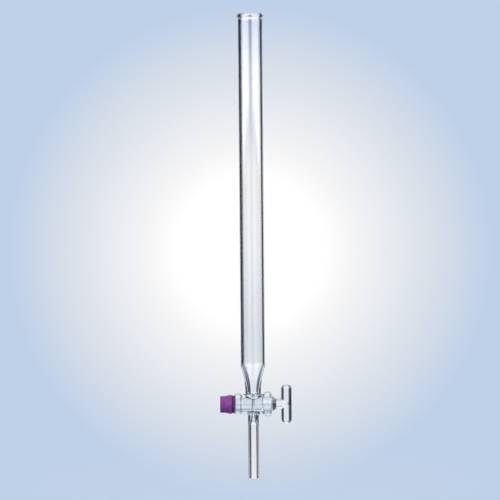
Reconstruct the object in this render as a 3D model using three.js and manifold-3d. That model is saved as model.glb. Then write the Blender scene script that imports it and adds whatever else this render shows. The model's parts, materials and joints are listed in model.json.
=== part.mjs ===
// A plain glass chromatography column: a beaded tube drawn down to a glass stopcock, with an outlet stem below.
// Millimetres, +Z up. The stopcock's key runs along X: its T-handle is at +X and its retaining nut at -X.
// Heights are measured from the stopcock's axis, and the whole column is then lowered so that the origin is the
// point on the tube's axis where a laboratory clamp holds it.

import * as THREE from "three";
import { mergeVertices } from "three/addons/utils/BufferGeometryUtils.js";
import Module from "manifold-3d";

const wasm = await Module();
wasm.setup();

// Driving dimensions
const TUBE_RADIUS = 11;
const TUBE_WALL = 1.8;
const RIM_TOP = 352;
const CLAMP_HEIGHT = 200;
const BARREL_RADIUS = 9;
const BARREL_LEFT = -16.1;
const BARREL_RIGHT = 16.6;
const BORE_MOUTH_RADIUS = 7.3;
const BORE_TAPER = 1 / 20;
const PORT_RADIUS = 1.25;
const STEM_RADIUS = 4.8;
const STEM_BORE = 3;
const STEM_TIP = -67.2;
const KEY_CLEARANCE = 0.06;
const HANDLE_RADIUS = 4.65;
const HANDLE_LENGTH = 35.6;
const HANDLE_DOME = 3.8;
const HANDLE_X = 30;
const TAIL_RADIUS = 4;
const TAIL_CLEARANCE = 0.15;
const NUT_OUTER_END = -29.9;
const NUT_INNER_END = -19.2;

// The bead around the tube's open end
const RIM = {
  radius: TUBE_RADIUS + 1.1,
  height: 4.4,
  flare: 0.9,
  lip: 1.2,
  land: [TUBE_RADIUS - 1.1, TUBE_RADIUS - 0.1],
};

// Where the lengths of glass meet: at the shoulder, and at the seals above and below the stopcock
const SHOULDER = { height: 38 };
const UPPER_SEAL = { height: 11.4, radius: 6.8, bore: 3.5 };
const LOWER_SEAL = { height: -20 };

// The cone drawn down from the tube: each wall leaves the straight tube over a short turn, then follows one
// curve, with its bend here, to the upper seal. The wall thickens as the glass narrows.
const CONE = {
  outer: { start: 36.5, corner: 34.8, turn: [TUBE_RADIUS - 0.45, 33.45], bend: [TUBE_RADIUS - 3.6, 24] },
  inner: { start: 37.5, corner: 36, turn: [TUBE_RADIUS - 2.4, 34.4], bend: [TUBE_RADIUS - 6.7, 24.6] },
};

// The beads at the ends of the barrel, by their distances from the end faces
const NUT_END_BEAD = {
  radius: 9.7,
  corner: 1.2,
  crown: [1.8, 3.9],
  groove: 5.7,
  grooveRadius: 8.5,
  width: 7.2,
};
const MOUTH_BEAD = { radius: 11.4, face: 1, faceBends: [1.4, 1.5], crown: 3.4, bends: [6.2, 7], width: 9 };

// How each arm flares where it joins the barrel. The arms start inside the barrel, at the root height.
const ARM_ROOT_HEIGHT = 4;
const UPPER_ARM = { flare: 1, flareTop: 7, bend: [UPPER_SEAL.radius + 0.1, 8.4] };
const LOWER_ARM = { flare: 0.9, flareBottom: -7.6, bend: -8.6, straightTop: -10 };
const UPPER_FUNNEL = { bottom: 7.6, bend: [UPPER_SEAL.bore - 0.3, 8.2] };
const LOWER_FUNNEL = { top: -11.5, bend: [STEM_BORE - 0.2, -15] };
const TIP_EDGE = { inner: 0.4, outer: 0.7 };

// The plug's own stations along X
const KEY = {
  tailEnd: -28.3,
  tailEdge: 0.8,
  groundLeft: -15.3,
  groundRight: 16.9,
  groundBend: [0.2, 1],
  shoulder: [6, 18.6],
  neckBend: 19.7,
  neckStart: 21,
  sealPlane: 23.8,
};

const O_RING = { section: 1, radius: 7.1 };
const WASHER = { radius: 8.3, thickness: 0.9, gap: 0.1 };

const NUT = {
  bodyRadius: 7.6,
  flangeRadius: 8.6,
  flangeWidth: 2.3,
  flareWidth: 3.6,
  ribs: 24,
  ribDepth: 0.3,
  recessRadius: 5.6,
  recessDepth: 1.2,
  recessTaper: 0.6,
  edge: 0.5,
};

// Smoothness
const ROUND_SIDES = 32;
const RING_SIDES = 10;
const CURVE_STEPS = 4;

// How far a cutting solid runs past the face that it cuts through
const PAST = 1;

const COLORS = {
  glass: 0xdfe8ee,
  groundGlass: 0xe6ebee,
  nut: 0x80418a,
  washer: 0x4d3a66,
  oRing: 0x38243f,
};

// Materials

function glassMaterial(color, roughness) {
  return new THREE.MeshStandardMaterial({
    color,
    roughness,
    metalness: 0,
    transparent: true,
    opacity: 0.4,
  });
}

function plasticMaterial(color, roughness) {
  return new THREE.MeshStandardMaterial({ color, roughness, metalness: 0 });
}

// Solids

// Turns a closed outline of (radius, height) points round the Z axis.
function turned(path) {
  return new THREE.LatheGeometry(path.getPoints(CURVE_STEPS), ROUND_SIDES).rotateX(Math.PI / 2);
}

// Turns a closed outline of (radius, x) points round the X axis.
function turnedAlongX(path) {
  return new THREE.LatheGeometry(path.getPoints(CURVE_STEPS), ROUND_SIDES).rotateZ(-Math.PI / 2);
}

function toSolid(geometry) {
  const bare = geometry.clone();
  bare.deleteAttribute("normal");
  bare.deleteAttribute("uv");
  const merged = mergeVertices(bare, 1e-4);
  return new wasm.Manifold(
    new wasm.Mesh({
      numProp: 3,
      vertProperties: merged.attributes.position.array,
      triVerts: new Uint32Array(merged.index.array),
    }),
  );
}

function toGeometry(solid) {
  const mesh = solid.getMesh();
  const geometry = new THREE.BufferGeometry();
  geometry.setAttribute("position", new THREE.BufferAttribute(mesh.vertProperties, 3));
  geometry.setIndex(new THREE.BufferAttribute(mesh.triVerts, 1));
  geometry.computeVertexNormals();
  return geometry;
}

function named(name, geometry, material) {
  const mesh = new THREE.Mesh(geometry, material);
  mesh.name = name;
  return mesh;
}

function boreRadiusAt(x) {
  return BORE_MOUTH_RADIUS + (x - BARREL_RIGHT) * BORE_TAPER;
}

// A closed outline from the axis at one height, along points of (radius, height), to the axis at the other.
function straightOutline(...points) {
  const path = new THREE.Path();
  path.moveTo(0, points[0][1]);
  for (const [radius, height] of points) path.lineTo(radius, height);
  path.lineTo(0, points.at(-1)[1]);
  return path;
}

// The glass

// The tube: a rounded bead at the mouth and a straight length down to the shoulder.
function columnTube() {
  const inner = TUBE_RADIUS - TUBE_WALL;
  const beadBottom = RIM_TOP - RIM.height;
  const beadMiddle = RIM_TOP - RIM.height / 2;
  const [landInner, landOuter] = RIM.land;
  const path = new THREE.Path();
  path.moveTo(inner, SHOULDER.height);
  path.lineTo(TUBE_RADIUS, SHOULDER.height);
  path.lineTo(TUBE_RADIUS, beadBottom - RIM.flare);
  path.quadraticCurveTo(RIM.radius, beadBottom, RIM.radius, beadMiddle);
  path.quadraticCurveTo(RIM.radius, RIM_TOP, landOuter, RIM_TOP);
  path.lineTo(landInner, RIM_TOP);
  path.quadraticCurveTo(inner, RIM_TOP, inner, RIM_TOP - RIM.lip);
  path.lineTo(inner, SHOULDER.height);
  return named("column_tube", turned(path), glassMaterial(COLORS.glass, 0.03));
}

// The tube's lower end, drawn down to the stopcock.
function drawnCone() {
  const inner = TUBE_RADIUS - TUBE_WALL;
  const path = new THREE.Path();
  path.moveTo(UPPER_SEAL.bore, UPPER_SEAL.height);
  path.lineTo(UPPER_SEAL.radius, UPPER_SEAL.height);
  path.quadraticCurveTo(...CONE.outer.bend, ...CONE.outer.turn);
  path.quadraticCurveTo(TUBE_RADIUS, CONE.outer.corner, TUBE_RADIUS, CONE.outer.start);
  path.lineTo(TUBE_RADIUS, SHOULDER.height);
  path.lineTo(inner, SHOULDER.height);
  path.lineTo(inner, CONE.inner.start);
  path.quadraticCurveTo(inner, CONE.inner.corner, ...CONE.inner.turn);
  path.quadraticCurveTo(...CONE.inner.bend, UPPER_SEAL.bore, UPPER_SEAL.height);
  return named("drawn_cone", turned(path), glassMaterial(COLORS.glass, 0.03));
}

// The barrel's outside: a small bead with a groove behind it at the nut's end, and a full, rounded one at the
// key's mouth.
function barrelBody() {
  const left = BARREL_LEFT;
  const right = BARREL_RIGHT;
  const small = NUT_END_BEAD.radius;
  const neck = NUT_END_BEAD.grooveRadius;
  const [crownStart, crownEnd] = NUT_END_BEAD.crown;
  const grooveStart = (crownEnd + NUT_END_BEAD.groove) / 2;
  const grooveEnd = (NUT_END_BEAD.groove + NUT_END_BEAD.width) / 2;
  const barrelStart = left + NUT_END_BEAD.width;
  const full = MOUTH_BEAD.radius;
  const [crownBend, barrelBend] = MOUTH_BEAD.bends;
  const [faceInset, faceBend] = MOUTH_BEAD.faceBends;
  const crown = right - MOUTH_BEAD.crown;
  const mouthFace = BORE_MOUTH_RADIUS + MOUTH_BEAD.face;
  const path = new THREE.Path();
  path.moveTo(0, left);
  path.lineTo(small - NUT_END_BEAD.corner, left);
  path.quadraticCurveTo(small, left, small, left + crownStart);
  path.lineTo(small, left + crownEnd);
  path.bezierCurveTo(small, left + grooveStart, neck, left + grooveStart, neck, left + NUT_END_BEAD.groove);
  path.bezierCurveTo(neck, left + grooveEnd, BARREL_RADIUS, left + grooveEnd, BARREL_RADIUS, barrelStart);
  path.lineTo(BARREL_RADIUS, right - MOUTH_BEAD.width);
  path.bezierCurveTo(BARREL_RADIUS, right - barrelBend, full, right - crownBend, full, crown);
  path.bezierCurveTo(full, right - faceBend, full - faceInset, right, mouthFace, right);
  path.lineTo(0, right);
  return toSolid(turnedAlongX(path));
}

// The tapered hole that the key is ground into.
function barrelBore() {
  const left = BARREL_LEFT - PAST;
  const right = BARREL_RIGHT + PAST;
  return toSolid(turnedAlongX(straightOutline([boreRadiusAt(left), left], [boreRadiusAt(right), right])));
}

// The arm above the barrel, which flares into it.
function upperArm() {
  const { radius, height } = UPPER_SEAL;
  const root = radius + UPPER_ARM.flare;
  const path = new THREE.Path();
  path.moveTo(0, ARM_ROOT_HEIGHT);
  path.lineTo(root, ARM_ROOT_HEIGHT);
  path.lineTo(root, UPPER_ARM.flareTop);
  path.quadraticCurveTo(...UPPER_ARM.bend, radius, height);
  path.lineTo(0, height);
  return toSolid(turned(path));
}

// The round bottom of the cone's bore, which closes down to the port.
function upperArmBore() {
  const inside = ARM_ROOT_HEIGHT - PAST;
  const path = new THREE.Path();
  path.moveTo(0, inside);
  path.lineTo(PORT_RADIUS, inside);
  path.lineTo(PORT_RADIUS, UPPER_FUNNEL.bottom);
  path.quadraticCurveTo(...UPPER_FUNNEL.bend, UPPER_SEAL.bore, UPPER_SEAL.height);
  path.lineTo(0, UPPER_SEAL.height);
  return toSolid(turned(path));
}

// The arm below the barrel, the start of the stem.
function lowerArm() {
  const root = STEM_RADIUS + LOWER_ARM.flare;
  const path = new THREE.Path();
  path.moveTo(0, LOWER_SEAL.height);
  path.lineTo(STEM_RADIUS, LOWER_SEAL.height);
  path.lineTo(STEM_RADIUS, LOWER_ARM.straightTop);
  path.quadraticCurveTo(STEM_RADIUS, LOWER_ARM.bend, root, LOWER_ARM.flareBottom);
  path.lineTo(root, -ARM_ROOT_HEIGHT);
  path.lineTo(0, -ARM_ROOT_HEIGHT);
  return toSolid(turned(path));
}

// A narrow port through thick glass, opening out to the stem's bore.
function lowerArmBore() {
  const inside = PAST - ARM_ROOT_HEIGHT;
  const path = new THREE.Path();
  path.moveTo(0, LOWER_SEAL.height);
  path.lineTo(STEM_BORE, LOWER_SEAL.height);
  path.quadraticCurveTo(...LOWER_FUNNEL.bend, PORT_RADIUS, LOWER_FUNNEL.top);
  path.lineTo(PORT_RADIUS, inside);
  path.lineTo(0, inside);
  return toSolid(turned(path));
}

function stopcockBarrel() {
  const solid = barrelBody()
    .add(upperArm())
    .add(lowerArm())
    .subtract(barrelBore())
    .subtract(upperArmBore())
    .subtract(lowerArmBore());
  return named("stopcock_barrel", toGeometry(solid), glassMaterial(COLORS.glass, 0.04));
}

// The outlet stem, fire-polished at its tip.
function outletStem() {
  const { inner, outer } = TIP_EDGE;
  const path = new THREE.Path();
  path.moveTo(STEM_BORE, LOWER_SEAL.height);
  path.lineTo(STEM_BORE, STEM_TIP + inner);
  path.quadraticCurveTo(STEM_BORE, STEM_TIP, STEM_BORE + inner, STEM_TIP);
  path.lineTo(STEM_RADIUS - outer, STEM_TIP);
  path.quadraticCurveTo(STEM_RADIUS, STEM_TIP, STEM_RADIUS, STEM_TIP + outer);
  path.lineTo(STEM_RADIUS, LOWER_SEAL.height);
  path.lineTo(STEM_BORE, LOWER_SEAL.height);
  return named("outlet_stem", turned(path), glassMaterial(COLORS.glass, 0.03));
}

// The key

// The ground taper with its cross bore, a tail for the nut, and the neck of the handle.
function stopcockPlug() {
  const groundLeft = boreRadiusAt(KEY.groundLeft) - KEY_CLEARANCE;
  const groundRight = boreRadiusAt(KEY.groundRight) - KEY_CLEARANCE;
  const [bendInset, bendAlong] = KEY.groundBend;
  const path = new THREE.Path();
  path.moveTo(0, KEY.tailEnd);
  path.lineTo(TAIL_RADIUS - KEY.tailEdge, KEY.tailEnd);
  path.lineTo(TAIL_RADIUS, KEY.tailEnd + KEY.tailEdge);
  path.lineTo(TAIL_RADIUS, KEY.groundLeft - KEY.tailEdge);
  path.lineTo(groundLeft, KEY.groundLeft);
  path.lineTo(groundRight, KEY.groundRight);
  path.quadraticCurveTo(groundRight - bendInset, KEY.groundRight + bendAlong, ...KEY.shoulder);
  path.quadraticCurveTo(HANDLE_RADIUS, KEY.neckBend, HANDLE_RADIUS, KEY.neckStart);
  path.lineTo(HANDLE_RADIUS, KEY.sealPlane);
  path.lineTo(0, KEY.sealPlane);
  const through = BARREL_RADIUS;
  const crossBore = turned(straightOutline([PORT_RADIUS, -through], [PORT_RADIUS, through]));
  const solid = toSolid(turnedAlongX(path)).subtract(toSolid(crossBore));
  return named("stopcock_plug", toGeometry(solid), glassMaterial(COLORS.groundGlass, 0.25));
}

// A solid glass rod with domed ends across the neck.
function plugHandle() {
  const half = HANDLE_LENGTH / 2;
  const bar = new THREE.Path();
  bar.moveTo(0, -half);
  bar.quadraticCurveTo(HANDLE_RADIUS, -half, HANDLE_RADIUS, HANDLE_DOME - half);
  bar.lineTo(HANDLE_RADIUS, half - HANDLE_DOME);
  bar.quadraticCurveTo(HANDLE_RADIUS, half, 0, half);
  const neck = turnedAlongX(straightOutline([HANDLE_RADIUS, KEY.sealPlane], [HANDLE_RADIUS, HANDLE_X]));
  const solid = toSolid(turned(bar).translate(HANDLE_X, 0, 0)).add(toSolid(neck));
  return named("plug_handle", toGeometry(solid), glassMaterial(COLORS.glass, 0.03));
}

// What holds the key in

function retainingWasher() {
  const hole = TAIL_RADIUS + TAIL_CLEARANCE;
  const inside = BARREL_LEFT - WASHER.gap;
  const outside = inside - WASHER.thickness;
  const path = new THREE.Path();
  path.moveTo(hole, outside);
  path.lineTo(WASHER.radius, outside);
  path.lineTo(WASHER.radius, inside);
  path.lineTo(hole, inside);
  path.lineTo(hole, outside);
  return named("retaining_washer", turnedAlongX(path), plasticMaterial(COLORS.washer, 0.5));
}

function retainingORing() {
  const ring = new THREE.TorusGeometry(O_RING.radius, O_RING.section, RING_SIDES, ROUND_SIDES);
  ring.rotateY(Math.PI / 2);
  ring.translate(NUT_INNER_END + O_RING.section, 0, 0);
  return named("retaining_o_ring", ring, plasticMaterial(COLORS.oRing, 0.6));
}

// The section of the nut's grip: ribs with flat crests and flat valleys between them.
function gripSection() {
  const corners = 4;
  const count = NUT.ribs * corners;
  const points = [];
  for (let i = 0; i < count; i++) {
    const onCrest = i % corners < corners / 2;
    const radius = onCrest ? NUT.bodyRadius : NUT.bodyRadius - NUT.ribDepth;
    const angle = (2 * Math.PI * (i + 0.5)) / count;
    points.push(new THREE.Vector2(radius * Math.cos(angle), radius * Math.sin(angle)));
  }
  return new THREE.Shape(points);
}

function nutGrip() {
  const length = NUT_INNER_END - NUT_OUTER_END - NUT.flangeWidth - NUT.edge;
  const grip = new THREE.ExtrudeGeometry(gripSection(), {
    depth: length - NUT.edge,
    bevelThickness: NUT.edge,
    bevelSize: NUT.edge,
    bevelOffset: -NUT.edge,
    bevelSegments: 1,
  });
  grip.rotateY(Math.PI / 2);
  grip.translate(NUT_OUTER_END + NUT.edge, 0, 0);
  return toSolid(grip);
}

// The flange that bears on the O-ring. The ribs run out in the long flare that leads to it.
function nutFlange() {
  const valley = NUT.bodyRadius - NUT.ribDepth;
  const full = NUT_INNER_END - NUT.flangeWidth;
  const start = full - NUT.flareWidth;
  const middle = (start + full) / 2;
  const path = new THREE.Path();
  path.moveTo(0, start);
  path.lineTo(valley, start);
  path.bezierCurveTo(valley, middle, NUT.flangeRadius, middle, NUT.flangeRadius, full);
  path.lineTo(NUT.flangeRadius, NUT_INNER_END - NUT.edge);
  path.lineTo(NUT.flangeRadius - NUT.edge, NUT_INNER_END);
  path.lineTo(0, NUT_INNER_END);
  return toSolid(turnedAlongX(path));
}

// The threaded hole, as a plain one that clears the tail, with a countersunk recess at the outer face.
function nutHole() {
  const hole = TAIL_RADIUS + TAIL_CLEARANCE;
  const recess = NUT_OUTER_END + NUT.recessDepth;
  const outline = straightOutline(
    [NUT.recessRadius, NUT_OUTER_END - PAST],
    [NUT.recessRadius, recess],
    [hole, recess + NUT.recessTaper],
    [hole, NUT_INNER_END + PAST],
  );
  return toSolid(turnedAlongX(outline));
}

function retainingNut() {
  const solid = nutGrip().add(nutFlange()).subtract(nutHole());
  return named("retaining_nut", toGeometry(solid), plasticMaterial(COLORS.nut, 0.42));
}

// The assembly

const column = new THREE.Group();
column.add(columnTube(), drawnCone(), stopcockBarrel(), outletStem());

const key = new THREE.Group();
key.add(stopcockPlug(), plugHandle());

const retainer = new THREE.Group();
retainer.add(retainingWasher(), retainingORing(), retainingNut());

const assembly = new THREE.Group();
assembly.add(column, key, retainer);
assembly.position.z = -CLAMP_HEIGHT;

const part = new THREE.Group();
part.add(assembly);

export default part;
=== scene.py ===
"""A glass chromatography column with a glass stopcock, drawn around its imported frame.

Shapes are worked out in millimetres, with x along the stopcock, z up, and the origin where the stopcock's
axis crosses the tube's. Each glass piece is one continuous solid, as lampworked glass is. A field that is
negative inside the glass describes it, and net_of_quads turns the field into a mesh.
"""

import json
import math

import bpy
import numpy as np
from mathutils import Matrix, Vector


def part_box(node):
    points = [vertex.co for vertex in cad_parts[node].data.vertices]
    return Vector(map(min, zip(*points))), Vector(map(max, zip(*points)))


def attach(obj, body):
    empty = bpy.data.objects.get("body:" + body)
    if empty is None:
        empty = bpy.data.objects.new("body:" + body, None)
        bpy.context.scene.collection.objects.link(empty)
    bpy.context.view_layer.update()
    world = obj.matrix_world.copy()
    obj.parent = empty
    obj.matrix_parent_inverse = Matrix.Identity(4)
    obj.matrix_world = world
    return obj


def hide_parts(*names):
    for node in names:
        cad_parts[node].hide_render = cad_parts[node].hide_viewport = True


MM = 0.001

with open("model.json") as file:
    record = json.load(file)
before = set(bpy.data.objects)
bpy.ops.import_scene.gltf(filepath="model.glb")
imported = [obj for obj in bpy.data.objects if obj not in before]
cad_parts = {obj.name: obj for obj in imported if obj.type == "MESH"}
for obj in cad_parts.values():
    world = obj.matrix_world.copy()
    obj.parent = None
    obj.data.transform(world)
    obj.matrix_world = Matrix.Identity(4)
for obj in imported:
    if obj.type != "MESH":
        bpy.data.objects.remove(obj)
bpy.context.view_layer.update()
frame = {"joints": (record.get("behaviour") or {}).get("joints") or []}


# The frame's own measures, in millimetres from the crossing of the axes

joint_at = {joint["name"]: Vector(joint["pos_m"]) for joint in frame["joints"] if "pos_m" in joint}
CROSSING = joint_at["key_turn"]


def box_of(node):
    low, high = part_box(node)
    return (low - CROSSING) / MM, (high - CROSSING) / MM


_, TUBE_HIGH = box_of("column_tube")
_, CONE_HIGH = box_of("drawn_cone")
BARREL_LOW, BARREL_HIGH = box_of("stopcock_barrel")
STEM_LOW, STEM_HIGH = box_of("outlet_stem")
PLUG_LOW, PLUG_HIGH = box_of("stopcock_plug")
_, HANDLE_HIGH = box_of("plug_handle")
WASHER_LOW, WASHER_HIGH = box_of("retaining_washer")
O_RING_LOW, O_RING_HIGH = box_of("retaining_o_ring")
NUT_LOW, NUT_HIGH = box_of("retaining_nut")

RIM_TOP = TUBE_HIGH.z
RIM_RADIUS = TUBE_HIGH.x
TUBE_RADIUS = CONE_HIGH.x
STEM_TIP = STEM_LOW.z
STEM_RADIUS = STEM_HIGH.x
BARREL_LEFT = BARREL_LOW.x
BARREL_RIGHT = BARREL_HIGH.x
MOUTH_BEAD_RADIUS = BARREL_HIGH.y
HANDLE_RADIUS = HANDLE_HIGH.y
HANDLE_X = HANDLE_HIGH.x - HANDLE_RADIUS
HANDLE_HALF = HANDLE_HIGH.z


# Measures that the boxes don't show. The solids have the same ones, but for the thread.

TUBE_BORE = TUBE_RADIUS - 1.8
STEM_BORE = 3.0
ARM_RADIUS = 6.8
ARM_ROOT = 4
PORT_RADIUS = 1.25
BARREL_RADIUS = 9.0
NUT_BEAD_RADIUS = 9.7
GROOVE_RADIUS = 8.5
BORE_TAPER = 1 / 20
BORE_MOUTH_RADIUS = 7.3
GROUND_LEFT = -15.3
GROUND_RIGHT = 16.9
NECK_START, NECK_RADIUS = 18.8, 5.9
NECK_END = 21.6
KEY_CLEARANCE = BORE_MOUTH_RADIUS + (GROUND_RIGHT - BARREL_RIGHT) * BORE_TAPER - PLUG_HIGH.y
HANDLE_DOME = 3.8
TAIL_RADIUS = 4.0
TAIL_HOLE = 4.15
THREAD_PITCH = 2.0
THREAD_DEPTH = 0.7

# Heights where the outlines of the column bend, inside and outside
PORT_START, PORT_TOP = -11.5, 7.6
LOWER_FUNNEL_START = -20
UPPER_SEAL_TOP, UPPER_SEAL_BORE = 11.4, 3.5
CONE_START = 8
OUTER_CORNER, OUTER_STRAIGHT = 33.45, 36.5
INNER_CORNER, INNER_STRAIGHT = 34.4, 37.5
RIM_BEAD_START, RIM_BEAD_CROWN = RIM_TOP - 5.3, RIM_TOP - 3

# How far the cone's walls still have to go out, where they turn up into the straight tube
OUTER_TURN, INNER_TURN = 0.45, 0.6

# Where the outlines of the barrel's beads bend
NUT_CROWN_END = BARREL_LEFT + 3.9
GROOVE_MIDDLE = BARREL_LEFT + 5.7
GROOVE_END = BARREL_LEFT + 7.2
MOUTH_BEAD_START = BARREL_RIGHT - 9
MOUTH_CROWN_START = BARREL_RIGHT - 3.4

# Roundings of the flame-polished edges
RIM_ROUNDING = 1.9
TIP_ROUNDING = 0.7
NUT_END_ROUNDING = 1.1
MOUTH_ROUNDING = 3.2
ARM_FILLET = 2.0
BORE_ROUNDING = 0.25
RIM_BORE_ROUNDING, TIP_BORE_ROUNDING, MOUTH_BORE_ROUNDING = 0.9, 0.4, 1.2


# Fields

def bezier(points, count=200):
    """Points along the Bezier curve with these two, three or four control points."""
    degree = len(points) - 1
    t = np.linspace(0, 1, count)[:, None]
    terms = [
        math.comb(degree, i) * t**i * (1 - t) ** (degree - i) * np.array(point)
        for i, point in enumerate(points)
    ]
    return np.sum(terms, axis=0)


def turned_side(*stretches):
    """The side of a turned shape, from stretches of (height, radius), as a function of radius and height."""
    samples = np.concatenate([bezier(stretch) for stretch in stretches])
    heights, firsts = np.unique(samples[:, 0], return_index=True)
    radii = samples[firsts, 1]
    slopes = np.gradient(radii, heights)

    def side(radius, height):
        lean = np.hypot(1, np.interp(height, heights, slopes))
        return (radius - np.interp(height, heights, radii)) / lean

    return side


def both(a, b, rounding):
    """Where both fields are negative, with the edge between them rounded to a radius."""
    past_a = np.maximum(rounding + a, 0)
    past_b = np.maximum(rounding + b, 0)
    return np.minimum(-rounding, np.maximum(a, b)) + np.hypot(past_a, past_b)


def either(a, b, fillet):
    """Where either field is negative, with the corner between them filled to a radius."""
    return -both(-a, -b, fillet)


def smooth_step(low, high, value):
    t = np.clip((value - low) / (high - low), 0, 1)
    return t * t * (3 - 2 * t)


def level_step(start, end):
    """A stretch from one (height, radius) to another that is level at both ends."""
    middle = (start[0] + end[0]) / 2
    return [start, (middle, start[1]), (middle, end[1]), end]


upright_outside = turned_side(
    [(STEM_TIP, STEM_RADIUS), (-ARM_ROOT, STEM_RADIUS)],
    level_step((-ARM_ROOT, STEM_RADIUS), (ARM_ROOT, ARM_RADIUS)),
    [(ARM_ROOT, ARM_RADIUS), (CONE_START, ARM_RADIUS)],
    [(CONE_START, ARM_RADIUS), (15, ARM_RADIUS), (24.85, 7.8), (OUTER_CORNER, TUBE_RADIUS - OUTER_TURN)],
    [(OUTER_CORNER, TUBE_RADIUS - OUTER_TURN), (34.8, TUBE_RADIUS), (OUTER_STRAIGHT, TUBE_RADIUS)],
    [(OUTER_STRAIGHT, TUBE_RADIUS), (RIM_BEAD_START, TUBE_RADIUS)],
    [
        (RIM_BEAD_START, TUBE_RADIUS),
        (RIM_TOP - 4.5, TUBE_RADIUS),
        (RIM_TOP - 4.5, RIM_RADIUS),
        (RIM_BEAD_CROWN, RIM_RADIUS),
    ],
    [(RIM_BEAD_CROWN, RIM_RADIUS), (RIM_TOP, RIM_RADIUS)],
)

upright_bore = turned_side(
    [(STEM_TIP, STEM_BORE), (LOWER_FUNNEL_START, STEM_BORE)],
    [(LOWER_FUNNEL_START, STEM_BORE), (-16, STEM_BORE), (-14.5, PORT_RADIUS), (PORT_START, PORT_RADIUS)],
    [(PORT_START, PORT_RADIUS), (PORT_TOP, PORT_RADIUS)],
    [(PORT_TOP, PORT_RADIUS), (8.2, 3.2), (UPPER_SEAL_TOP, UPPER_SEAL_BORE)],
    [(UPPER_SEAL_TOP, UPPER_SEAL_BORE), (24.6, TUBE_BORE - 4.9), (INNER_CORNER, TUBE_BORE - INNER_TURN)],
    [(INNER_CORNER, TUBE_BORE - INNER_TURN), (36, TUBE_BORE), (INNER_STRAIGHT, TUBE_BORE)],
    [(INNER_STRAIGHT, TUBE_BORE), (RIM_TOP, TUBE_BORE)],
)

barrel_side = turned_side(
    [(BARREL_LEFT, NUT_BEAD_RADIUS), (NUT_CROWN_END, NUT_BEAD_RADIUS)],
    level_step((NUT_CROWN_END, NUT_BEAD_RADIUS), (GROOVE_MIDDLE, GROOVE_RADIUS)),
    level_step((GROOVE_MIDDLE, GROOVE_RADIUS), (GROOVE_END, BARREL_RADIUS)),
    [(GROOVE_END, BARREL_RADIUS), (MOUTH_BEAD_START, BARREL_RADIUS)],
    [
        (MOUTH_BEAD_START, BARREL_RADIUS),
        (BARREL_RIGHT - 6.8, BARREL_RADIUS),
        (BARREL_RIGHT - 6.2, MOUTH_BEAD_RADIUS),
        (MOUTH_CROWN_START, MOUTH_BEAD_RADIUS),
    ],
    [(MOUTH_CROWN_START, MOUTH_BEAD_RADIUS), (BARREL_RIGHT, MOUTH_BEAD_RADIUS)],
)


def bore_radius(x):
    return BORE_MOUTH_RADIUS + (x - BARREL_RIGHT) * BORE_TAPER


def bore_edge(x, z):
    """How much the bores' edges are rounded: more at the rim, the tip and the key's mouth than inside."""
    at_rim = smooth_step(RIM_TOP - 52, RIM_TOP - 12, z)
    at_tip = smooth_step(STEM_TIP + 17.2, STEM_TIP + 7.2, z)
    at_mouth = smooth_step(BARREL_RIGHT - 4, BARREL_RIGHT - 2, x)
    edge = BORE_ROUNDING
    edge += (RIM_BORE_ROUNDING - BORE_ROUNDING) * at_rim
    edge += (TIP_BORE_ROUNDING - BORE_ROUNDING) * at_tip
    edge += (MOUTH_BORE_ROUNDING - BORE_ROUNDING) * at_mouth
    return edge


def blown_glass(x, y, z):
    """The tube, its cone, the stopcock's barrel and the stem, with the bores through them."""
    upright = np.hypot(x, y)
    across = np.hypot(y, z)
    column = both(upright_outside(upright, z), z - RIM_TOP, RIM_ROUNDING)
    column = both(column, STEM_TIP - z, TIP_ROUNDING)
    barrel = both(barrel_side(across, x), BARREL_LEFT - x, NUT_END_ROUNDING)
    barrel = both(barrel, x - BARREL_RIGHT, MOUTH_ROUNDING)
    bores = np.minimum(upright_bore(upright, z), across - bore_radius(x))
    return both(either(column, barrel, ARM_FILLET), -bores, bore_edge(x, z))


def ground_radius(x):
    return bore_radius(x) - KEY_CLEARANCE


key_side = turned_side(
    [(PLUG_LOW.x, TAIL_RADIUS), (GROUND_LEFT - 1, TAIL_RADIUS)],
    [
        (GROUND_LEFT - 1, TAIL_RADIUS),
        (GROUND_LEFT - 0.8, TAIL_RADIUS + 0.9),
        (GROUND_LEFT - 0.6, ground_radius(GROUND_LEFT) - 0.05),
        (GROUND_LEFT + 0.3, ground_radius(GROUND_LEFT + 0.3)),
    ],
    [(GROUND_LEFT + 0.3, ground_radius(GROUND_LEFT + 0.3)), (GROUND_RIGHT, ground_radius(GROUND_RIGHT))],
    [(GROUND_RIGHT, PLUG_HIGH.y), (GROUND_RIGHT + 0.8, PLUG_HIGH.y), (18.1, 6.5), (NECK_START, NECK_RADIUS)],
    [(NECK_START, NECK_RADIUS), (19.4, 5.35), (20, HANDLE_RADIUS), (NECK_END, HANDLE_RADIUS)],
    [(NECK_END, HANDLE_RADIUS), (HANDLE_X, HANDLE_RADIUS)],
)

THREAD_FADE = 1.5
TAIL_END_ROUNDING = 0.6
SHANK_END_ROUNDING = 0.5
NECK_FILLET = 0.9
PORT_EDGE = 0.2


def thread_cut(x, y, z):
    """How deep the rounded right-hand thread cuts into the tail at a point."""
    turns = x / THREAD_PITCH - np.arctan2(z, y) / (2 * math.pi)
    start = smooth_step(PLUG_LOW.x, PLUG_LOW.x + THREAD_FADE, x)
    end = smooth_step(WASHER_HIGH.x, WASHER_HIGH.x - THREAD_FADE, x)
    return THREAD_DEPTH * start * end * (0.5 - 0.5 * np.cos(2 * math.pi * turns))


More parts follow.
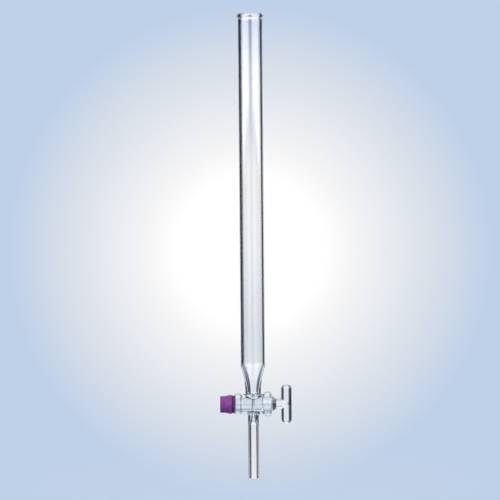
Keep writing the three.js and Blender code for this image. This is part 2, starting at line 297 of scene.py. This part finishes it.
def ground_key(x, y, z):
    """The key: a threaded tail, the ground taper with its port, the neck and the handle across it."""
    across = np.hypot(y, z)
    shank = both(key_side(across, x) + thread_cut(x, y, z), PLUG_LOW.x - x, TAIL_END_ROUNDING)
    shank = both(shank, x - HANDLE_X, SHANK_END_ROUNDING)
    past_straight = np.maximum(np.abs(z) - (HANDLE_HALF - HANDLE_DOME), 0) * (HANDLE_RADIUS / HANDLE_DOME)
    bar = np.sqrt((x - HANDLE_X) ** 2 + y**2 + past_straight**2) - HANDLE_RADIUS
    port = np.hypot(x, y) - PORT_RADIUS
    return both(either(shank, bar, NECK_FILLET), -port, PORT_EDGE)


# Meshes

def crossings_along(axis, values, grid, stations):
    """Which grid edges along an axis the surface crosses, the points there, and which start in the glass."""
    cells = values.shape[axis] - 1
    low = np.take(values, range(cells), axis)
    high = np.take(values, range(1, cells + 1), axis)
    crossed = (low < 0) != (high < 0)
    share = np.where(crossed, low / np.where(crossed, low - high, 1), 0)
    points = np.stack([np.take(places, range(cells), axis) for places in grid], -1)
    step = np.diff(stations[axis]).reshape([-1 if i == axis else 1 for i in range(3)])
    points[..., axis] += share * step
    return crossed, points, low < 0


def points_in_cells(crossings, cells):
    """The middle of each crossed cell's crossings, and the number of each cell's point, or -1 without one."""
    total = np.zeros((*cells, 3))
    count = np.zeros(cells, int)
    for axis, (crossed, points, _) in enumerate(crossings):
        for first in (0, 1):
            for second in (0, 1):
                shift = {(axis + 1) % 3: first, (axis + 2) % 3: second}
                window = tuple(slice(shift.get(i, 0), shift.get(i, 0) + cells[i]) for i in range(3))
                total += np.where(crossed[window][..., None], points[window], 0)
                count += crossed[window]
    used = count > 0
    number = np.full(cells, -1)
    number[used] = np.arange(used.sum())
    return total[used] / count[used][:, None], number


def quads_round(crossings, number):
    """A quad round each crossed edge, through the four cells that share it, facing out of the glass."""
    quads = []
    for axis, (crossed, _, starts_inside) in enumerate(crossings):
        second, third = (axis + 1) % 3, (axis + 2) % 3
        at = np.argwhere(crossed)
        rising = starts_inside[tuple(at.T)]
        corners = []
        for back_second, back_third in ((1, 1), (0, 1), (0, 0), (1, 0)):
            cell = at.copy()
            cell[:, second] -= back_second
            cell[:, third] -= back_third
            corners.append(number[tuple(cell.T)])
        around = np.stack(corners, 1)
        around[~rising] = around[~rising][:, ::-1]
        quads.append(around)
    return np.concatenate(quads)


def net_of_quads(field, stations):
    """Quads round the solid where a field is negative, with one point in each cell that they cross."""
    grid = np.meshgrid(*stations, indexing="ij")
    values = field(*grid)
    crossings = [crossings_along(axis, values, grid, stations) for axis in range(3)]
    points, number = points_in_cells(crossings, tuple(n - 1 for n in values.shape))
    return points, quads_round(crossings, number)


def slope_of(field, points, reach=0.01):
    """The field's gradient at each point."""
    parts = []
    for axis in range(3):
        offset = np.zeros(3)
        offset[axis] = reach
        ahead = field(*(points + offset).T)
        behind = field(*(points - offset).T)
        parts.append((ahead - behind) / (2 * reach))
    return np.stack(parts, 1)


def onto_surface(field, points, steps=4):
    """The points moved along the field's gradient until they lie on the surface."""
    for _ in range(steps):
        slope = slope_of(field, points)
        steepness = np.maximum((slope**2).sum(1), 1e-6)
        points = points - slope * (field(*points.T) / steepness)[:, None]
    return points


def normals_of(field, points):
    slope = slope_of(field, points)
    return slope / np.linalg.norm(slope, axis=1, keepdims=True)


def evened(field, points, quads, rounds=3):
    """The points spread evenly over the surface, without leaving it."""
    sides = np.concatenate([quads[:, [i, (i + 1) % 4]] for i in range(4)])
    sides = np.concatenate([sides, sides[:, ::-1]])
    neighbours = np.bincount(sides[:, 0], minlength=len(points))[:, None]
    for _ in range(rounds):
        sums = [np.bincount(sides[:, 0], points[sides[:, 1], i], len(points)) for i in range(3)]
        pull = np.stack(sums, 1) / neighbours - points
        normal = normals_of(field, points)
        pull -= normal * (pull * normal).sum(1, keepdims=True)
        points = onto_surface(field, points + 0.5 * pull, 2)
    return points


def add_object(name, data):
    made = bpy.data.objects.new(name, data)
    bpy.context.scene.collection.objects.link(made)
    return made


def piece_from(name, points, faces, normals=None):
    """A smooth mesh object from points in millimetres."""
    mesh = bpy.data.meshes.new(name)
    mesh.from_pydata(points * MM + np.array(CROSSING), [], faces.tolist())
    mesh.shade_smooth()
    if normals is not None:
        mesh.normals_split_custom_set_from_vertices(normals)
    return add_object(name, mesh)


def piece_of_field(name, field, stations):
    points, quads = net_of_quads(field, stations)
    points = evened(field, onto_surface(field, points), quads)
    return piece_from(name, points, quads, normals_of(field, points))


def spaced(*stops):
    """Grid stations through (place, spacing) stops: each spacing holds up to the next place."""
    runs = []
    for (start, spacing), (end, _) in zip(stops, stops[1:]):
        count = max(1, round((end - start) / spacing))
        runs.append(np.linspace(start, end, count, endpoint=False))
    return np.concatenate([*runs, [stops[-1][0]]])


def blown_glass_piece():
    """The blown glass in one piece, with a finer grid at its worked ends and round the stopcock."""
    fine, coarse, border = 0.45, 4, 1.3
    reach_y = RIM_RADIUS + border
    heights = spaced(
        (STEM_TIP - border, fine),
        (STEM_TIP + 2, coarse),
        (-24, fine),
        (40, coarse),
        (RIM_TOP - 8, fine),
        (RIM_TOP + border, 0),
    )
    return piece_of_field(
        "column_glass",
        blown_glass,
        (
            spaced((BARREL_LEFT - border, fine), (BARREL_RIGHT + border, 0)),
            spaced((-reach_y, fine), (reach_y, 0)),
            heights,
        ),
    )


def key_piece():
    fine, thread, border = 0.4, 0.25, 1
    return piece_of_field(
        "stopcock_key",
        ground_key,
        (
            spaced((PLUG_LOW.x - border, thread), (GROUND_LEFT + 1, fine), (HANDLE_HIGH.x + border, 0)),
            spaced((-PLUG_HIGH.y - border, fine), (PLUG_HIGH.y + border, 0)),
            spaced((-HANDLE_HALF - border, fine), (HANDLE_HALF + border, 0)),
        ),
    )


def rounded_outline(corners, spacing):
    """An evenly spaced closed outline through (x, radius, rounding) corners."""
    spots = np.array([corner[:2] for corner in corners], float)
    path = []
    for i, (_, _, rounding) in enumerate(corners):
        back = spots[i - 1] - spots[i]
        ahead = spots[(i + 1) % len(spots)] - spots[i]
        start = spots[i] + back / np.linalg.norm(back) * rounding
        end = spots[i] + ahead / np.linalg.norm(ahead) * rounding
        path.append(bezier([start, spots[i], end], 12))
    path = np.concatenate([*path, path[0][:1]])
    along = np.concatenate([[0], np.cumsum(np.linalg.norm(np.diff(path, axis=0), axis=1))])
    even = np.linspace(0, along[-1], round(along[-1] / spacing), endpoint=False)
    return np.stack([np.interp(even, along, path[:, i]) for i in (0, 1)], 1)


def turned_piece(name, outline, sides, radius_at=None):
    """A ring turned round the stopcock's axis. radius_at(x, radius, angle) can shape it further."""
    x = np.repeat(outline[:, :1], sides, 1)
    radius = np.repeat(outline[:, 1:], sides, 1)
    angle = np.linspace(0, 2 * math.pi, sides, endpoint=False)[None, :] + 0 * x
    if radius_at:
        radius = radius_at(x, radius, angle)
    points = np.stack([x, radius * np.cos(angle), radius * np.sin(angle)], -1).reshape(-1, 3)
    ring, spot = np.meshgrid(np.arange(len(outline)), np.arange(sides), indexing="ij")
    next_ring, next_spot = (ring + 1) % len(outline), (spot + 1) % sides
    corners = ((ring, spot), (ring, next_spot), (next_ring, next_spot), (next_ring, spot))
    faces = np.stack([r * sides + s for r, s in corners], -1).reshape(-1, 4)
    return piece_from(name, points, faces)


def nut_piece():
    """The nut: a ribbed grip that flares out to the face on the O-ring, with a thread in its hole."""
    outer, inner = NUT_LOW.x, NUT_HIGH.x
    full, grip = NUT_HIGH.y, NUT_HIGH.y - 1.05
    flare_start, flare_end = inner - 5.9, inner - 2.3
    recess, recess_depth = 5.6, 1.2
    ribs, rib_depth = 24, 0.28
    outline = rounded_outline(
        [
            (inner, TAIL_HOLE, 0.3),
            (inner, full, 0.5),
            (flare_end, full, 1.5),
            (flare_start, grip, 1.7),
            (outer, grip, 0.6),
            (outer, recess, 0.3),
            (outer + recess_depth, recess, 0.3),
            (outer + recess_depth + 0.6, TAIL_HOLE, 0.3),
        ],
        0.22,
    )

    def radius_at(x, radius, angle):
        gripped = smooth_step(flare_end, flare_start, x) * smooth_step(recess + 0.7, grip - 0.3, radius)
        wave = 0.5 - 0.5 * np.cos(ribs * angle)
        ribbed = radius - rib_depth * gripped * smooth_step(0.25, 0.75, wave)
        in_hole = smooth_step(TAIL_HOLE + 0.3, TAIL_HOLE, radius)
        turns = x / THREAD_PITCH - angle / (2 * math.pi)
        crest = THREAD_DEPTH * (0.5 - 0.5 * np.cos(2 * math.pi * turns))
        thread_start = outer + recess_depth
        threaded = smooth_step(thread_start, thread_start + 1.4, x) * smooth_step(inner, inner - 1.2, x)
        return ribbed - in_hole * threaded * crest

    return turned_piece("nut_with_thread", outline, 12 * ribs, radius_at)


def washer_piece():
    left, right = WASHER_LOW.x, WASHER_HIGH.x
    outline = rounded_outline(
        [
            (left, TAIL_HOLE, 0.2),
            (right, TAIL_HOLE, 0.2),
            (right, WASHER_HIGH.y, 0.25),
            (left, WASHER_HIGH.y, 0.25),
        ],
        0.15,
    )
    return turned_piece("washer_ring", outline, sides=96)


def o_ring_piece():
    """The O-ring, whose section is a little taller than it is wide, because the nut squeezes it."""
    middle = (O_RING_LOW.x + O_RING_HIGH.x) / 2
    half_width = (O_RING_HIGH.x - O_RING_LOW.x) / 2
    half_height = 1.08 * half_width
    radius = O_RING_HIGH.y - half_width
    around = np.linspace(0, 2 * math.pi, 40, endpoint=False)
    outline = np.stack([middle + half_width * np.cos(around), radius + half_height * np.sin(around)], 1)
    return turned_piece("o_ring_seal", outline, sides=128)


# Materials

class Nodes:
    """The node tree of a material or a world, with short ways to add what its surface needs."""

    def __init__(self, owner, shader="Principled BSDF"):
        owner.use_nodes = True
        self.owner = owner
        self.tree = owner.node_tree
        self.shader = self.tree.nodes[shader]

    def output(self, name):
        """A socket of the material's output node."""
        return self.tree.nodes["Material Output"].inputs[name]

    def node(self, kind, **settings):
        made = self.tree.nodes.new(kind)
        for key, value in settings.items():
            setattr(made, key, value)
        return made

    def plug(self, value, socket):
        if isinstance(value, bpy.types.NodeSocket):
            self.tree.links.new(value, socket)
        else:
            socket.default_value = value

    def math(self, operation, *values, clamp=False):
        made = self.node("ShaderNodeMath", operation=operation, use_clamp=clamp)
        for value, socket in zip(values, made.inputs):
            self.plug(value, socket)
        return made.outputs[0]

    def length(self, first, second):
        """The length of the vector with these two components."""
        squares = [self.math("MULTIPLY", part, part) for part in (first, second)]
        return self.math("SQRT", self.math("ADD", *squares))

    def place(self):
        """Where the point is, in its object's own metres, which are the frame's for the part's pieces."""
        return self.node("ShaderNodeTexCoord").outputs["Object"]

    def split(self, vector):
        made = self.node("ShaderNodeSeparateXYZ")
        self.plug(vector, made.inputs[0])
        return made.outputs

    def noise(self, scale, detail=3, stretch=(1, 1, 1)):
        """Noise between 0 and 1, scale cells to the metre. A small stretch draws it out along an axis."""
        mapping = self.node("ShaderNodeMapping")
        self.plug(self.place(), mapping.inputs["Vector"])
        mapping.inputs["Scale"].default_value = stretch
        made = self.node("ShaderNodeTexNoise")
        self.plug(mapping.outputs[0], made.inputs["Vector"])
        made.inputs["Scale"].default_value = scale
        made.inputs["Detail"].default_value = detail
        return made.outputs[0]

    def between(self, low, high, share):
        made = self.node("ShaderNodeMapRange")
        self.plug(share, made.inputs["Value"])
        self.plug(low, made.inputs["To Min"])
        self.plug(high, made.inputs["To Max"])
        return made.outputs[0]

    def blend(self, first, second, share):
        made = self.node("ShaderNodeMix", data_type="RGBA")
        for value, name in ((share, "Factor"), (first, "A"), (second, "B")):
            self.plug(value, made.inputs[name])
        return made.outputs["Result"]

    def eased(self, value, start, end, low=0.0, high=1.0):
        """From low to high as a value goes from start to end, easing in and out."""
        made = self.node("ShaderNodeMapRange", interpolation_type="SMOOTHSTEP")
        self.plug(value, made.inputs["Value"])
        for name, limit in (("From Min", start), ("From Max", end), ("To Min", low), ("To Max", high)):
            made.inputs[name].default_value = limit
        return made.outputs[0]

    def ramp(self, value, stops):
        """The colour at a value from 0 to 1, through (value, colour) stops."""
        made = self.node("ShaderNodeValToRGB")
        elements = made.color_ramp.elements
        elements[0].position, elements[0].color = stops[0]
        elements[-1].position, elements[-1].color = stops[-1]
        for position, colour in stops[1:-1]:
            elements.new(position).color = colour
        self.plug(value, made.inputs[0])
        return made.outputs[0]

    def bump(self, height, distance, strength=1.0):
        made = self.node("ShaderNodeBump")
        self.plug(height, made.inputs["Height"])
        made.inputs["Distance"].default_value = distance
        self.plug(strength, made.inputs["Strength"])
        self.plug(made.outputs[0], self.shader.inputs["Normal"])

    def set(self, **values):
        for key, value in values.items():
            self.plug(value, self.shader.inputs[key.replace("_", " ")])


def linear(*screen):
    """An opaque linear colour from red, green and blue screen values between 11 and 255."""
    return (*(((v / 255 + 0.055) / 1.055) ** 2.4 for v in screen), 1)


def material_nodes(name):
    return Nodes(bpy.data.materials.new(name))


# The clear glass has slight waves in its surface. The grain of the ground glass is a share of their height.
GLASS_IOR = 1.474
GLASS_TINT, GLASS_TINT_DENSITY = (0.56, 0.79, 0.92, 1), 22
CLEAR_ROUGHNESS = (0.0, 0.02)
GROUND_ROUGHNESS = (0.08, 0.16)
GRAIN_PER_WAVE = 0.02
GLASS_WAVE_HEIGHT = 0.1 * MM


def glass(name, ground, wave_stretch):
    """Clear borosilicate glass, with a fine grind where ground(nodes, x, across) says 1."""
    nodes = material_nodes(name)
    x, y, z = nodes.split(nodes.place())
    across = nodes.length(y, nodes.math("SUBTRACT", z, CROSSING.z))
    share = ground(nodes, x, across)
    grain = nodes.noise(9000, 2)
    clear = nodes.between(*CLEAR_ROUGHNESS, nodes.noise(120))
    rough = nodes.math("ADD", nodes.math("MULTIPLY", share, nodes.between(*GROUND_ROUGHNESS, grain)), clear)
    nodes.set(Base_Color=(1, 1, 1, 1), Roughness=rough, IOR=GLASS_IOR, Transmission_Weight=1.0)
    ripple = nodes.noise(45, 1, wave_stretch)
    grind = nodes.math("MULTIPLY", nodes.math("MULTIPLY", share, grain), GRAIN_PER_WAVE)
    nodes.bump(nodes.math("ADD", ripple, grind), GLASS_WAVE_HEIGHT)
    tint = nodes.node("ShaderNodeVolumeAbsorption")
    tint.inputs["Color"].default_value = GLASS_TINT
    tint.inputs["Density"].default_value = GLASS_TINT_DENSITY
    nodes.plug(tint.outputs[0], nodes.output("Volume"))
    return nodes.owner


# How far a ground surface is told from the clear glass round it
BORE_MARGIN, KEY_MARGIN = 0.1 * MM, 0.2 * MM


def taper_at(nodes, x):
    """The radius of the ground taper at x, in metres."""
    return nodes.math("MULTIPLY_ADD", x, BORE_TAPER, (BORE_MOUTH_RADIUS - BARREL_RIGHT * BORE_TAPER) * MM)


def ground_bore(nodes, x, across):
    return nodes.math("LESS_THAN", across, nodes.math("ADD", taper_at(nodes, x), BORE_MARGIN))


def ground_taper(nodes, x, across):
    on_taper = nodes.math("GREATER_THAN", across, nodes.math("SUBTRACT", taper_at(nodes, x), KEY_MARGIN))
    right_of_tail = nodes.math("GREATER_THAN", x, (GROUND_LEFT - 0.4) * MM)
    left_of_neck = nodes.math("LESS_THAN", x, (GROUND_RIGHT + 0.3) * MM)
    return nodes.math("MULTIPLY", on_taper, nodes.math("MULTIPLY", right_of_tail, left_of_neck))


def speckled_surface(name, colours, colour_noise, roughness, roughness_noise, bump, **values):
    """A surface with noise in its colour, gloss and relief.

    Each noise is (scale, detail), and bump is (noise, height in metres, strength).
    """
    nodes = material_nodes(name)
    nodes.set(
        Base_Color=nodes.blend(*[linear(*colour) for colour in colours], nodes.noise(*colour_noise)),
        Roughness=nodes.between(*roughness, nodes.noise(*roughness_noise)),
        **values,
    )
    grain, height, strength = bump
    nodes.bump(nodes.noise(*grain), height, strength)
    return nodes.owner


def nut_plastic():
    return speckled_surface(
        "purple_plastic",
        colours=((128, 52, 138), (150, 66, 160)),
        colour_noise=(260, 4),
        roughness=(0.34, 0.5),
        roughness_noise=(900, 3),
        bump=((3500, 3), 0.03 * MM, 0.6),
        Subsurface_Weight=0.15,
        Subsurface_Scale=0.001,
    )


# The washer's dark violet is partly its own plastic's colour and partly painted shade: it is darker than that
# plastic, like the shade in its narrow place between the O-ring and the barrel.
def washer_plastic_with_painted_shade():
    return speckled_surface(
        "violet_plastic_painted_shade",
        colours=((70, 48, 112), (84, 60, 128)),
        colour_noise=(700, 3),
        roughness=(0.4, 0.55),
        roughness_noise=(1500, 2),
        bump=((4000, 2), 0.02 * MM, 0.5),
    )


def ring_rubber():
    return speckled_surface(
        "dark_elastomer",
        colours=((88, 38, 84), (104, 48, 96)),
        colour_noise=(600, 3),
        roughness=(0.5, 0.68),
        roughness_noise=(2500, 3),
        bump=((6000, 3), 0.03 * MM, 0.6),
    )


# The pieces

def finish_piece(piece, material, body, slot, *nodes_it_replaces):
    piece.data.materials.append(material)
    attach(piece, body)
    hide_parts(*nodes_it_replaces)


finish_piece(
    blown_glass_piece(),
    glass("borosilicate_glass", ground_bore, (1, 1, 0.3)),
    "glass",
    "column_tube",
    "column_tube",
    "drawn_cone",
    "stopcock_barrel",
    "outlet_stem",
)
finish_piece(
    key_piece(),
    glass("ground_glass", ground_taper, (0.5, 1, 1)),
    "key",
    "stopcock_plug",
    "stopcock_plug",
    "plug_handle",
)
finish_piece(nut_piece(), nut_plastic(), "nut", "retaining_nut", "retaining_nut")
finish_piece(washer_piece(), washer_plastic_with_painted_shade(), "seals", "retaining_washer", "retaining_washer")
finish_piece(o_ring_piece(), ring_rubber(), "seals", "retaining_o_ring", "retaining_o_ring")


# The camera

LENS, SENSOR = 200, 36
FIELD_WIDTH = 450 * MM
DISTANCE = FIELD_WIDTH * LENS / SENSOR
ELEVATION = math.radians(4)
ROLL = math.radians(0.49)
VIEW_CENTRE = CROSSING + Vector((-1.76, 0, 139.65)) * MM


def make_camera():
    data = bpy.data.cameras.new("camera")
    data.lens, data.sensor_width = LENS, SENSOR
    data.clip_start, data.clip_end = 0.1, 100
    camera = add_object("camera", data)
    turn = Matrix.Rotation(math.pi / 2 - ELEVATION, 4, "X") @ Matrix.Rotation(-ROLL, 4, "Z")
    camera.matrix_world = Matrix.Translation(VIEW_CENTRE) @ turn @ Matrix.Translation((0, 0, DISTANCE))
    bpy.context.scene.camera = camera
    return camera


# The studio. Its backdrop and its panels are the camera's children, so they keep their places round it, as
# they do where the object stands on a turntable and is turned to be seen from another side. Places are in
# metres from the middle of the view, with x to the camera's right, y up and z towards the camera. Angles are
# in degrees: the sweep's from straight behind the object, the panels' from the camera.

SWEEP_RADIUS = 1.5
SWEEP_HALF_WIDTH = 1.05
SWEEP_START, SWEEP_END = -90, 120
SWEEP_ROWS = 85
PANEL_RADIUS = 1.1
PANEL_LOW, PANEL_HIGH = -0.45, 0.75
PANEL_START, PANEL_END = 9, 95
PANEL_ROWS = 30

# What the camera sees of the sweep, by distance from the middle of the view: 1 at its sides
BACKDROP_STOPS = (
    (0.3, linear(255, 255, 255)),
    (0.4, linear(245, 245, 246)),
    (0.52, linear(235, 237, 240)),
    (0.76, linear(213, 221, 232)),
    (0.97, linear(190, 208, 232)),
)

# What the glass sees of the sweep, by degrees round it from straight behind: negative under the object,
# positive over it
SWEEP_STOPS = (
    (-90, linear(160, 172, 190)),
    (-45, linear(205, 215, 228)),
    (-22, linear(244, 246, 250)),
    (-13, linear(246, 248, 251)),
    (-5, linear(226, 230, 239)),
    (0, linear(248, 250, 252)),
    (4.5, linear(250, 250, 250)),
    (6.5, linear(228, 230, 235)),
    (10, linear(212, 216, 224)),
    (12.5, linear(160, 172, 200)),
    (14, linear(164, 175, 200)),
    (17, linear(255, 252, 246)),
    (70, linear(255, 251, 242)),
    (120, linear(225, 222, 218)),
)

# How the sweep's light falls off to its sides, which draws the edges of upright glass: by distance from a
# line a little to the right of the middle, as a share of the sweep's radius
FALLOFF_STOPS = (
    (0.25, linear(255, 255, 255)),
    (0.31, linear(218, 218, 230)),
    (0.37, linear(150, 148, 176)),
    (0.44, linear(72, 64, 104)),
    (0.6, linear(40, 32, 66)),
)
FALLOFF_CENTRE = 0.118

# Away from level the falloff weakens: from 10 to 32 degrees, from not at all to by 0.3
FALLOFF_WEAKENS = (10.0, 32.0, 0.0, 0.3)

# The room beyond the studio, by how steeply it is seen: level at 0, straight up or down at 1
ROOM_STOPS = (
    (0.1, linear(38, 32, 56)),
    (0.45, linear(125, 128, 156)),
)

# The light at the sweep's sides, where it has fallen off
SWEEP_SHADE = linear(14, 12, 24)
WHITE = linear(255, 255, 255)


def glow_nodes(name):
    """The nodes of a material that only gives light."""
    nodes = material_nodes(name)
    nodes.tree.nodes.remove(nodes.shader)
    nodes.shader = nodes.node("ShaderNodeEmission")
    nodes.plug(nodes.shader.outputs[0], nodes.output("Surface"))
    return nodes


def sweep_glow():
    """To the camera, white in the middle and pale blue round it. To the glass, the whole sweep's light."""
    nodes = glow_nodes("sweep_glow")
    x, y, z = nodes.split(nodes.place())
    half_view = (DISTANCE + SWEEP_RADIUS) * SENSOR / 2 / LENS
    backdrop = nodes.ramp(nodes.math("DIVIDE", nodes.length(x, y), half_view), BACKDROP_STOPS)

    span = SWEEP_END - SWEEP_START
    turned = nodes.math("DEGREES", nodes.math("ARCTAN2", y, nodes.math("MULTIPLY", z, -1.0)))
    along = nodes.math("DIVIDE", nodes.math("SUBTRACT", turned, SWEEP_START), span)
    light = nodes.ramp(along, [((angle - SWEEP_START) / span, colour) for angle, colour in SWEEP_STOPS])
    aside = nodes.math("ABSOLUTE", nodes.math("SUBTRACT", x, FALLOFF_CENTRE))
    falloff = nodes.ramp(nodes.math("DIVIDE", aside, SWEEP_RADIUS), FALLOFF_STOPS)
    weaker = nodes.eased(nodes.math("ABSOLUTE", turned), *FALLOFF_WEAKENS)
    falloff = nodes.blend(falloff, WHITE, weaker)

    to_camera = nodes.node("ShaderNodeLightPath").outputs["Is Camera Ray"]
    nodes.set(Color=nodes.blend(nodes.blend(SWEEP_SHADE, light, falloff), backdrop, to_camera))
    return nodes.owner


def panel_glow():
    """Strong above, weak below and weaker still to the sides, and fading towards the camera's opening."""
    upper, lower_inner, lower_outer = 3.2, 0.7, 0.08
    nodes = glow_nodes("panel_glow")
    x, y, _ = nodes.split(nodes.place())
    aside = nodes.math("ABSOLUTE", x)
    lower = nodes.eased(aside, 0.65, 0.95, lower_inner, lower_outer)
    light = nodes.between(lower, upper, nodes.eased(y, 0.0, 0.07))
    past_opening = nodes.eased(aside, 0.13, 0.5)
    nodes.set(Strength=nodes.math("MULTIPLY", light, past_opening))
    return nodes.owner


def make_curved_sheet(camera, name, places, rows, material):
    """A sheet that the camera carries, through places given row by row."""
    columns = len(places) // rows
    mesh = bpy.data.meshes.new(name)
    corners = [row * columns + column for row in range(rows - 1) for column in range(columns - 1)]
    mesh.from_pydata(places, [], [(i, i + 1, i + columns + 1, i + columns) for i in corners])
    mesh.shade_smooth()
    mesh.materials.append(material)
    sheet = add_object(name, mesh)
    sheet.parent = camera
    sheet.location = (0, 0, -DISTANCE)


def make_sweep(camera):
    """A backdrop that curves over and under the object."""
    angles = np.radians(np.linspace(SWEEP_START, SWEEP_END, SWEEP_ROWS))
    places = [
        (side * SWEEP_HALF_WIDTH, SWEEP_RADIUS * math.sin(angle), -SWEEP_RADIUS * math.cos(angle))
        for angle in angles
        for side in (-1, 1)
    ]
    make_curved_sheet(camera, "sweep", places, len(angles), sweep_glow())


def make_panels(camera):
    """A curved white panel in front of the object on each side of the camera."""
    angles = np.radians(np.linspace(PANEL_START, PANEL_END, PANEL_ROWS))
    glow = panel_glow()
    for side, name in ((-1, "left_panel"), (1, "right_panel")):
        places = [
            (side * PANEL_RADIUS * math.sin(angle), height, PANEL_RADIUS * math.cos(angle))
            for angle in angles
            for height in (PANEL_LOW, PANEL_HIGH)
        ]
        make_curved_sheet(camera, name, places, len(angles), glow)


def make_world():
    """The dark room round the studio, which is lighter overhead and underfoot than at the sides."""
    nodes = Nodes(bpy.data.worlds.new("studio"), "Background")
    direction = nodes.node("ShaderNodeTexCoord").outputs["Generated"]
    steepness = nodes.math("ABSOLUTE", nodes.split(direction)[2])
    nodes.set(Color=nodes.ramp(steepness, ROOM_STOPS))
    bpy.context.scene.world = nodes.owner


def make_floor():
    """A pale disc under the tip, which fades out so that it ends without an edge."""
    radius, sides, gap, strongest = 0.3, 96, 1 * MM, 0.12
    height = CROSSING.z + STEM_TIP * MM - gap
    angles = np.linspace(0, 2 * math.pi, sides, endpoint=False)
    rim = [(radius * math.cos(angle), radius * math.sin(angle), height) for angle in angles]
    mesh = bpy.data.meshes.new("floor")
    mesh.from_pydata(rim, [], [range(sides)])
    nodes = material_nodes("pale_floor")
    x, y, _ = nodes.split(nodes.place())
    fading = nodes.eased(nodes.length(x, y), 0.0, radius, strongest, 0.0)
    nodes.set(Base_Color=linear(228, 234, 242), Roughness=0.6, Alpha=fading)
    mesh.materials.append(nodes.owner)
    add_object("floor", mesh)


camera = make_camera()
make_sweep(camera)
make_panels(camera)
make_world()
make_floor()

# Light passes eight glass surfaces on its way through the stopcock and its port, and bounces between them
GLASS_BOUNCES, GLOSS_BOUNCES, CLEAR_BOUNCES = 24, 12, 16

scene = bpy.context.scene
scene.view_settings.view_transform = "Standard"
scene.cycles.max_bounces = GLASS_BOUNCES
scene.cycles.transmission_bounces = GLASS_BOUNCES
scene.cycles.glossy_bounces = GLOSS_BOUNCES
scene.cycles.transparent_max_bounces = CLEAR_BOUNCES
